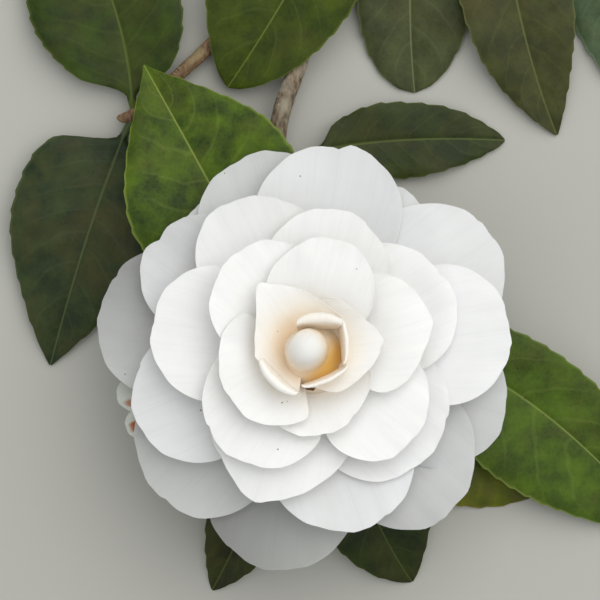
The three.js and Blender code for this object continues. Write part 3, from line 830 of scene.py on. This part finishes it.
# painted shade: how much darker a petal is made where it lies low, away from the light, over the dark leaves
# under it
PAINTED_SHADE = {-99: 0.44, -139.5: 0.18, 166.5: 0.42, 105.5: 0.17, -45: 0.28, 81: 0.12, 142: 0.21, -16: 0.22,
         -71.5: 0.07, -159.5: 0.07, 57.5: 0.12, 32.5: 0.07, 115: 0.1, 28: -0.02, 75.5: 0.05}
print("petals:", sum(len(petals) for petals in RINGS.values()))

# %% From the flower's own axis to the sprig


def on_flower(x, y, h):
    """Points about the flower's leaning axis, in mm, to the sprig's frame."""
    return np.stack([x, y * math.cos(LEAN) + h * math.sin(LEAN),
                     SEAT_HEIGHT - y * math.sin(LEAN) + h * math.cos(LEAN)], -1)


def ring_height(level, radius):
    """Height over the seat of the flared surface that a petal of this level lies on."""
    i = min(int(level), len(RING_SURFACES) - 2)
    spread, rim, root, arch = mix(*np.array(RING_SURFACES[i:i + 2]), level - i)
    t = radius / spread
    flare = 1 - np.maximum(0, 1 - t) ** 2
    return mix(root, rim, flare) + arch * np.sin(math.pi * np.minimum(t, 1.2))


# %% [markdown]
# ## Petal tissue
# A camellia petal is thin, wax-smooth living tissue: white, a little see-through, and cream
# round the heart. Its colour attribute, worked out with each petal, also carries painted shade:
# greyer outer rings, darker low petals and amber deep in the gaps round the heart. The shader
# takes its colour from that attribute, adds faint lengthwise veins about a millimetre apart, and lets light
# bleed through by about a millimetre.

# %% The petal finish
VEINS_ACROSS = 26.0                # about 1.3 mm apart on a petal 34 mm wide
CLOUD_SIZE = 9 * MM
DUST_SPACING = 2.6 * MM            # a few of these cells hold a dark speck of dust or pollen

petal_tissue, tree, place = new_material("camellia_petal_tissue")
uv = add_node(tree, "ShaderNodeUVMap", {"uv_map": "sheet_uv"})
flush = add_node(tree, "ShaderNodeAttribute", {"attribute_name": "flush"})
stretch = add_node(tree, "ShaderNodeMapping", inputs={"Vector": uv, "Scale": (VEINS_ACROSS, 1.6, 1.0)})
veins = add_node(tree, "ShaderNodeTexNoise", inputs={
    "Vector": stretch, "Scale": 1.0, "Detail": 4.0, "Roughness": 0.6, "Distortion": 0.4})
cloud = add_node(tree, "ShaderNodeTexNoise", inputs={
    "Vector": place, "Scale": 1 / CLOUD_SIZE, "Detail": 2.0})
vein_amount = add_node(tree, "ShaderNodeMapRange", inputs={
    "Value": veins, "From Min": 0.45, "From Max": 0.8, "To Max": 0.26})
veined = add_node(tree, "ShaderNodeMix", TINTED, {
    0: vein_amount, 6: flush.outputs["Color"], 7: linear("#E9ECEE")})
clouded = add_node(tree, "ShaderNodeMix", TINTED, {
    0: cloud, 6: veined.outputs[2], 7: linear("#F6F5F2")})
dust = add_node(tree, "ShaderNodeTexVoronoi", inputs={"Vector": place, "Scale": 1 / DUST_SPACING})
dust_pick = add_node(tree, "ShaderNodeSeparateXYZ", inputs={0: dust.outputs["Color"]})
dust_size = add_node(tree, "ShaderNodeMapRange", inputs={
    "Value": dust_pick, "From Min": 0.90, "To Min": 0.0, "To Max": 0.085})
dust_spot = add_node(tree, "ShaderNodeMath", {"operation": "LESS_THAN"}, {
    0: dust.outputs["Distance"], 1: dust_size})
dusted = add_node(tree, "ShaderNodeMix", RGBA, {
    0: dust_spot, 6: clouded.outputs[2], 7: linear("#8E8069")})
relief = add_node(tree, "ShaderNodeBump", inputs={
    "Height": veins, "Strength": 0.08, "Distance": 0.3 * MM})
finish_material(tree, {
    "Base Color": dusted.outputs[2], "Roughness": 0.5, "Specular IOR Level": 0.3, "IOR": 1.4,
    "Subsurface Weight": 0.35, "Subsurface Radius": (1.0, 0.92, 0.8), "Subsurface Scale": 1.2 * MM,
    "Sheen Weight": 0.05, "Sheen Roughness": 0.5, "Normal": relief})
print("material:", petal_tissue.name)

# %% [markdown]
# ## Shaping a petal
# The rim is an arc of a circle, drawn a little to a point or notched at the tip as a few of
# them are. The sides are cupped by half a millimetre and the rim lifts a little, which gives
# each petal the thin bright edge and soft shadow that sets it off from the next.
# The last few round the heart stand up steeply and curl outwards like a shaving of wood.

# %% One petal as a sheet
PETAL_ROWS, PETAL_COLUMNS = 34, 41


def petal_sheet(level, seed, turn, reach, half, point=0, roundness=1):
    rng = np.random.default_rng(seed)
    u = (1 - (1 - np.linspace(0, 1, PETAL_ROWS)) ** 1.5)[:, None]
    a = np.radians(np.linspace(-90, 90, PETAL_COLUMNS))[None, :]
    v = np.sin(a)
    share = min(1, half / 12) * (0.25 if turn in ROLLED_RIMS else 1)
    curl, wall_run, aside, _ = ROLLED_RIMS.get(turn, (0, 0, 0, 0))
    # outline: a half circle for the rim, then the sides run in to the narrow root
    pointed = 1.3 * (np.sqrt(v * v + 0.006) - math.sqrt(0.006))
    drop = min(half, reach * 0.6) * roundness * mix(1 - np.cos(a), pointed, point)
    near, far = SHOULDER.get(turn, (1, 0))
    drop = drop * np.where(v < 0, near + far * np.abs(v) ** 3, 1)
    waver = 0.35 * np.sin(3.1 * v + rng.uniform(0, 6)) + 0.24 * np.sin(8.3 * v + rng.uniform(0, 6))
    waver = waver + 0.09 * np.sin(23 * v + rng.uniform(0, 6)) + rng.uniform(-1.1, 1.1) * v
    nicks = -0.35 * np.exp(-((v - rng.uniform(-0.8, 0.8)) / 0.03) ** 2)
    notch = NOTCHES.get(turn, 0) * np.exp(-(v / 0.10) ** 2)
    rim = reach - drop + (waver + nicks) * share - notch - 2 * curl
    climb = np.minimum(1, u / 0.6) if curl else u
    root = reach - 2 * curl - wall_run if curl else PETAL_ROOT_RADIUS * (1 - 0.9 * ease(level, 4.2, 4.8))
    root_half = mix(PETAL_ROOT_HALF_WIDTH, 9.6, ease(level, 4.2, 5.0))
    wrap, wrapped_half = WRAPPED_ROOT.get(turn, (0, root_half))
    root = root - wrap * np.maximum(v, 0)
    root_half = np.where(v > 0, wrapped_half, root_half)
    along = mix(root, rim, climb)
    root_half = np.minimum(root_half, half)
    across = aside + v * mix(root_half, half * PETAL_SIDE_FILL, np.sin(climb * math.pi / 2))
    bend = math.pi * 0.9 * np.clip((u - 0.6) / 0.4, 0, 1)
    upright = np.hypot(along, across)
    roll = curl * (1 - 0.5 * v * v)
    along = along + roll * (1 - np.cos(bend))
    swing = math.radians(turn)
    x = along * math.cos(swing) - across * math.sin(swing)
    y = along * math.sin(swing) + across * math.cos(swing)
    radius = np.hypot(x, y)
    # relief: cupped sides, a soft lip, broad folds along the petal and a slight crumple at the rim
    lip = PETAL_LIP * u ** 4 * rng.uniform(0.3, 0.8)
    tilt = rng.uniform(-0.3, 0.3) * v * u ** 2
    folds = 0.16 * np.sin(4.4 * v + rng.uniform(0, 6)) + 0.08 * np.sin(9.7 * v + 2 * u + rng.uniform(0, 6))
    crumple = 0.16 * u ** 8 * np.sin(17 * v + rng.uniform(0, 6))
    left, right = PRESSED.get(turn, (0, 0))
    tilt = tilt - u * np.where(v > 0, left * v, -right * v)
    relief = PETAL_EDGE_CUP * v * v * u * u + lip + tilt + share * (folds * u ** 1.5 + crumple)
    h = ring_height(level, upright) + relief
    if curl:
        h = ring_height(level, reach) + CUP_LIFT - CUP_DEPTH * (1 - climb) ** 1.2 + roll * np.sin(bend)
    middle = np.stack([x, y, h + 0 * x], -1)
    out = np.cross(np.gradient(middle, axis=1), np.gradient(middle, axis=0))
    out /= np.linalg.norm(out, axis=-1, keepdims=True)
    out *= 1 if out[len(out) // 4, PETAL_COLUMNS // 2, 2] > 0 else -1
    thick = (mix(0.5, 0.16, u) * (1 - 0.4 * v ** 6))[..., None] / 2
    faces = [middle + side * thick * out for side in (1, -1)]
    sheet = close_sheet(*(on_flower(f[..., 0], f[..., 1], f[..., 2]) for f in faces), (v + 1) / 2, u)
    sheet["flush"] = petal_flush(level, turn, u + 0 * v, v + 0 * u, radius)
    return sheet


# %% The colour of a petal from root to rim
# the two shaded whites are painted shade on the outer rings, and the amber is painted shade for the gaps
# round the heart
WHITE_INNER, SHADED_WHITE_MIDDLE, SHADED_WHITE_OUTER, PETAL_CREAM, AMBER_GAP_SHADE, FADED_GREEN, FADED_BROWN = (
    np.array(linear(tone)) for tone in (
        "#FCFCFB", "#F1F2F3", "#DCDEDC", "#FBF6EC", "#F0B863", "#B9BDAE", "#A0562F"))
PATCH_LENGTH, PATCH_WIDTH = 0.05, 0.45     # of a brown patch, as parts of the petal's


def petal_flush(level, turn, u, v, radius):
    """White at the rim, with painted shade greying the outer rings and darkening the listed low petals,
    cream round the heart, amber as painted shade deep in the gaps, brown on a faded tip.
    """
    # painted shade: the whites grey from the inner rings out to the lowest, outermost ring
    outer = mix(SHADED_WHITE_OUTER, SHADED_WHITE_MIDDLE, ease(level, 0.0, 1.4))
    base = mix(outer, WHITE_INNER, ease(level, 1.2, 2.6))
    cream = ease(level, 2.6, 4.6) * np.exp(-(np.maximum(radius - 7, 0) / 6.0) ** 2)
    # amber painted shade deep in the gaps round the heart, on the inner rings only
    amber = 0.44 * ease(level, 3.8, 4.0) * np.exp(-(np.maximum(radius - 5.5, 0) / 3.3) ** 2)
    # the inside of a rolled rim faces the heart and takes its own amount of amber painted shade, most near
    # its root
    if turn in ROLLED_RIMS:
        amber = ROLLED_RIMS[turn][3] * (1 - ease(u, 0.25, 0.62)) * mix(1, 0.5, (v + 1) / 2)
    colour = mix(mix(base, PETAL_CREAM, cream[..., None]), AMBER_GAP_SHADE, 0.85 * amber[..., None])
    # painted shade: each listed petal darkens, a little more toward its rim
    painted_shade = PAINTED_SHADE.get(turn, 0) * mix(0.7, 1.1, u) * (1 - 0.4 * v)
    colour = colour * (1 - painted_shade[..., None])
    if turn in FADED:
        patch_u, patch_v, strength = FADED[turn]
        ragged = np.sin(9 * v + 30 * u) * 0.12
        far = np.hypot((u - patch_u) / PATCH_LENGTH, (v - patch_v) / PATCH_WIDTH)
        patch = ease(1 - far + ragged, 0.0, 0.5)
        colour = mix(colour, FADED_GREEN, 0.6 * ease(u, 0.5, 0.8)[..., None])
        colour = mix(colour, FADED_BROWN, strength * patch[..., None])
    flat = colour.reshape(-1, 4)
    return np.concatenate([flat, flat])


# %% Lay the petals ring by ring
for ring, (name, petals) in enumerate(RINGS.items()):
    sheets = [petal_sheet(ring + i / len(petals), ring * 20 + i + 11, *sizes)
              for i, sizes in enumerate(petals)]
    fit_on(build_piece(name, sheets, petal_tissue), "bloom")

# %% [markdown]
# ## The heart
# At the middle the last petals are still wrapped in a tight rounded bud. Each is a thin cap
# that hoods the bud from one side and reaches over its top, and each wraps the one inside. A
# whorl tree does that: one cap, repeated round an upright axis at a fixed turn, each a touch
# smaller. The same tree lays the green scales of the calyx under the bloom.

# %% A whorl of scales as a node tree


def whorl_tree(name, material):
    tree, given = new_tree(name, {
        "Scale piece": "Object", "Count": "Int", "Turn": "Float", "Shrink": "Float", "Step up": "Float"})
    index = add_node(tree, "GeometryNodeInputIndex")
    lift = add_node(tree, "ShaderNodeMath", TIMES, {0: index, 1: given["Step up"]})
    spots = add_node(tree, "ShaderNodeCombineXYZ", inputs={2: lift})
    points = add_node(tree, "GeometryNodePoints", inputs={"Count": given["Count"], "Position": spots})
    turned = add_node(tree, "ShaderNodeMath", TIMES, {0: index, 1: given["Turn"]})
    spin = add_node(tree, "ShaderNodeCombineXYZ", inputs={2: turned})
    shrunk = add_node(tree, "ShaderNodeMath", {"operation": "POWER"}, {0: given["Shrink"], 1: index})
    size = add_node(tree, "ShaderNodeCombineXYZ", inputs={i: shrunk for i in range(3)})
    source = add_node(tree, "GeometryNodeObjectInfo", inputs={"Object": given["Scale piece"]})
    placed = add_node(tree, "GeometryNodeInstanceOnPoints", inputs={
        "Points": points, "Instance": source.outputs["Geometry"],
        "Rotation": spin, "Scale": size})
    return finish_tree(tree, placed, material)


def whorl(name, material, scale_sheet, foot, aside=(0.0, 0.0), **values):
    """A whorl of one scale about the flower's axis, standing on a foot height over the seat."""
    scale = build_piece(name + "_scale", [scale_sheet], material, place=lambda points: points)
    inputs = {key.replace("_", " ").capitalize(): value for key, value in values.items()}
    piece = run_tree(name, whorl_tree(name, material), {"Scale piece": scale, **inputs})
    bpy.data.objects.remove(scale)
    points = np.empty(len(piece.data.vertices) * 3)
    piece.data.vertices.foreach_get("co", points)
    p = points.reshape(-1, 3)
    placed = to_place(on_flower(p[:, 0] + aside[0], p[:, 1] + aside[1], p[:, 2] + foot))
    piece.data.vertices.foreach_set("co", placed.ravel())
    piece.data.update()
    return piece


# %% The wrapped heart
HEART_RADIUS, HEART_WAIST, HEART_TOP = 4.9, 26.0, 32.2
HEART_OFFSET = (0.0, -0.8)         # the bud sits a little forward of the flower's axis
# the bud is cream on top and turns peach toward its foot, partly its own tint and partly painted shade; the
# gold is painted shade for the deep pocket at its lower right
HEART_GOLD_SHADE, HEART_PEACH, HEART_CREAM = (np.array(linear(tone)) for tone in ("#E2B160", "#FAE5CA", "#FCFAF4"))
GOLD_FADES = (5.8, 7.0)            # mm from the axis between which the gold gives way to peach
HEART_FACING = math.radians(-40)   # the outermost wrap hoods the bud from this side


def heart_cap(tilt, spread, swell=1.0, least_warm_shade=0.0, gold_from=2.0):
    """A cap on the egg-shaped bud: the part within spread degrees of a line tilted from upright."""
    k = np.linspace(-1, 1, 31)
    a, b = np.meshgrid(k, k)
    disc_x = a * np.sqrt(1 - b * b / 2)
    disc_y = b * np.sqrt(1 - a * a / 2)
    far = np.hypot(disc_x, disc_y)
    ragged = 1 + 0.05 * np.sin(3 * np.arctan2(disc_y, disc_x) + 1.0) * far ** 3
    polar = np.radians(spread) * far * ragged
    share = np.sin(polar) / np.maximum(far, 1e-6)
    facing = np.stack([disc_x * share, disc_y * share, np.cos(polar)], -1)
    lean = math.radians(tilt)
    turned = np.stack([facing[..., 0] * math.cos(lean) + facing[..., 2] * math.sin(lean), facing[..., 1],
                       facing[..., 2] * math.cos(lean) - facing[..., 0] * math.sin(lean)], -1)
    turned = turned @ np.array(Matrix.Rotation(HEART_FACING, 3, "Z")).T
    size = swell * (1 + 0.025 * far ** 8)
    body = turned * np.array([HEART_RADIUS, HEART_RADIUS, HEART_TOP - HEART_WAIST]) * size[..., None]
    sheet = close_sheet(body + 0.12 * turned, body - 0.12 * turned, (a + 1) / 2, (b + 1) / 2)
    # painted shade: peach low on the bud, and gold toward the pocket at its lower right, which fades out
    # beyond a set distance from the axis
    warm_shade = np.maximum(least_warm_shade, 0.9 * (1 - ease(body[..., 2], 2.0, 6.1)))[..., None]
    toward_gold = 0.85 * body[..., 0] - 0.6 * body[..., 1]
    gold = ease(toward_gold, gold_from, gold_from + 5.0)
    gold = gold * (1 - ease(np.hypot(body[..., 0], body[..., 1]), *GOLD_FADES))
    warm = mix(HEART_PEACH, HEART_GOLD_SHADE, gold[..., None])
    tone = mix(HEART_CREAM, warm, warm_shade).reshape(-1, 4)
    sheet["flush"] = np.concatenate([tone, tone])
    return sheet


wraps = whorl("heart_wraps", petal_tissue, heart_cap(32, 82), HEART_WAIST, aside=HEART_OFFSET,
              count=6, turn=math.radians(137.5), shrink=0.96, step_up=0.0)
fit_on(wraps, "bloom")
# the packing lies deep between the bud and the petals, so all of it takes the peach and gold painted shade
packing = whorl("heart_packing", petal_tissue, heart_cap(0, 85, 1.7, 1.0, -0.5), HEART_WAIST - 10.1,
                aside=(1.7, -1.6), count=1, turn=0.0, shrink=1.0, step_up=0.0)
fit_on(packing, "bloom")

# %% [markdown]
# ## Brown flecks on the petals
# A dark brown fleck lies under the rolled rim at the front of the heart, and a few grains of
# dust lie on the petals below it. Each is a small flattened grain on the surface of the ring
# that carries it.

# %% Flecks that lie on the petals
# ring level, place from the flower's axis (x, y), length, width and turn, all in mm and degrees
FLECKS = [
    (4.5, 0.9, -9.25, 2.3, 0.9, -12), (4.5, 2.1, -8.9, 1.0, 0.5, 25), (4.4, -5.5, -12.6, 0.45, 0.3, 10),
    (4.4, -4.6, -13.2, 0.5, 0.3, 70), (4.4, -5.7, -13.7, 0.35, 0.25, 40), (4.4, -4.3, -12.3, 0.3, 0.25, 0),
    (3.5, -12.4, -20.4, 0.45, 0.3, 50), (3.5, -11.4, -21.3, 0.3, 0.25, 0)]
FLECK_LIFT = 0.25                  # mm over the middle of the petal's sheet
fleck_finish = grained("dark_brown_fleck", 0.6 * MM, "#463020", "#8A6540", 0.8)
fleck_mesh = bmesh.new()
for level, x, y, length, width, turn in FLECKS:
    grain = bmesh.ops.create_icosphere(fleck_mesh, subdivisions=2, radius=0.5)
    swing = Matrix.Rotation(math.radians(turn), 3, "Z")
    for vertex in grain["verts"]:
        ragged = 1 + 0.25 * math.sin(9 * vertex.co.x + 5 * vertex.co.y)
        spot = swing @ Vector((vertex.co.x * length, vertex.co.y * width * ragged, vertex.co.z * width))
        far = math.hypot(x + spot.x, y + spot.y)
        height = ring_height(level, far) + FLECK_LIFT + 0.6 * spot.z
        vertex.co = to_place(on_flower(x + spot.x, y + spot.y, height))
mesh = bpy.data.meshes.new("dry_flecks")
fleck_mesh.to_mesh(mesh)
fleck_mesh.free()
mesh.shade_smooth()
mesh.materials.append(fleck_finish)
fit_on(add_object("dry_flecks", mesh), "bloom")

# %% [markdown]
# ## The calyx
# Under the bloom nine silky green scales hold the petals. They sit in the two-fifths spiral
# of most flower buds, the innermost largest, and dry to brown at their tips. Short hairs lie
# flat on them, so their sheen is stronger than a leaf's and their gloss is weaker.

# %% The scales of the calyx
CALYX_FOOT = -8.6
SEPAL_PATH = [(2.4, 0.0), (4.0, 0.9), (7.2, 3.2), (9.8, 5.3), (11.2, 6.7), (12.0, 7.9)]
SEPAL_HALF_WIDTH = 5.6

sepal_silk, tree, _ = new_material("silky_sepal")
uv = add_node(tree, "ShaderNodeUVMap", {"uv_map": "sheet_uv"})
spot = add_node(tree, "ShaderNodeSeparateXYZ", inputs={0: uv})
hairs_uv = add_node(tree, "ShaderNodeMapping", inputs={"Vector": uv, "Scale": (40.0, 3.0, 1.0)})
hairs = add_node(tree, "ShaderNodeTexNoise", inputs={"Vector": hairs_uv, "Scale": 1.0, "Detail": 3.0})
dry = add_node(tree, "ShaderNodeMath", TIMES_PLUS, {0: hairs, 1: 0.25, 2: spot.outputs[1]})
dry_amount = add_node(tree, "ShaderNodeMapRange", SMOOTH, {
    "Value": dry, "From Min": 0.86, "From Max": 1.1})
silk = add_node(tree, "ShaderNodeMix", RGBA, {
    0: hairs, 6: linear("#8F9659"), 7: linear("#C4C48A")})
silk_dry = add_node(tree, "ShaderNodeMix", RGBA, {
    0: dry_amount, 6: silk.outputs[2], 7: linear("#6E4A2C")})
relief = add_node(tree, "ShaderNodeBump", inputs={"Height": hairs, "Strength": 0.4, "Distance": 0.2 * MM})
finish_material(tree, {
    "Base Color": silk_dry.outputs[2], "Roughness": 0.62, "Specular IOR Level": 0.3,
    "Sheen Weight": 0.35, "Sheen Roughness": 0.4, "Normal": relief})


def sepal_sheet():
    path, length = smooth_path([(r, 0, h) for r, h in SEPAL_PATH], 20)
    t = np.linspace(0, 1, len(path))[:, None]
    w = np.linspace(-1, 1, 19)[None, :]
    taper = np.sqrt(1 - np.maximum(0, (t - 0.35) / 0.66) ** 2.6)
    width = SEPAL_HALF_WIDTH * np.minimum(1, 0.42 + 1.2 * t) * taper
    r, h = path[:, :1], path[:, 2:]
    around = w * width / r
    lean = 0.25 * w ** 2 * t
    x, y = (r - lean) * np.cos(around), (r - lean) * np.sin(around)
    body = np.stack([x, y, h + 0 * w], -1)
    slope = np.gradient(path, axis=0)
    slope /= np.linalg.norm(slope, axis=1, keepdims=True)
    out = np.stack([slope[:, 2:] * np.cos(around), slope[:, 2:] * np.sin(around), -slope[:, :1] + 0 * w], -1)
    thick = mix(0.35, 0.16, t)[..., None]
    return close_sheet(body + thick * out, body - thick * out, (w + 1) / 2, t)


scales = whorl("calyx_scales", sepal_silk, sepal_sheet(), CALYX_FOOT,
               count=9, turn=math.radians(144), shrink=0.945, step_up=-0.2)
fit_on(scales, "calyx")

# %% The short flower stalk
STALK_FOOT, STALK_TOP = -12.5, -1.0        # mm over the seat of the petals
stalk_t = np.linspace(0, 1, 24)
stalk_line = to_place(on_flower(0 * stalk_t, 0 * stalk_t, mix(STALK_FOOT, STALK_TOP, stalk_t)))
stalk_radii = np.interp(stalk_t, [0, 0.25, 0.5, 0.8, 1.0], [2.3, 2.2, 2.8, 6.5, 8.5]) * MM
stalk = run_tree("flower_stalk", trees["young"], {
    "Sides": 28, "Lump height": 0.3 * MM, "Lump size": 1.6 * MM},
    path_mesh("flower_stalk", stalk_line, stalk_radii))
fit_on(stalk, "calyx")
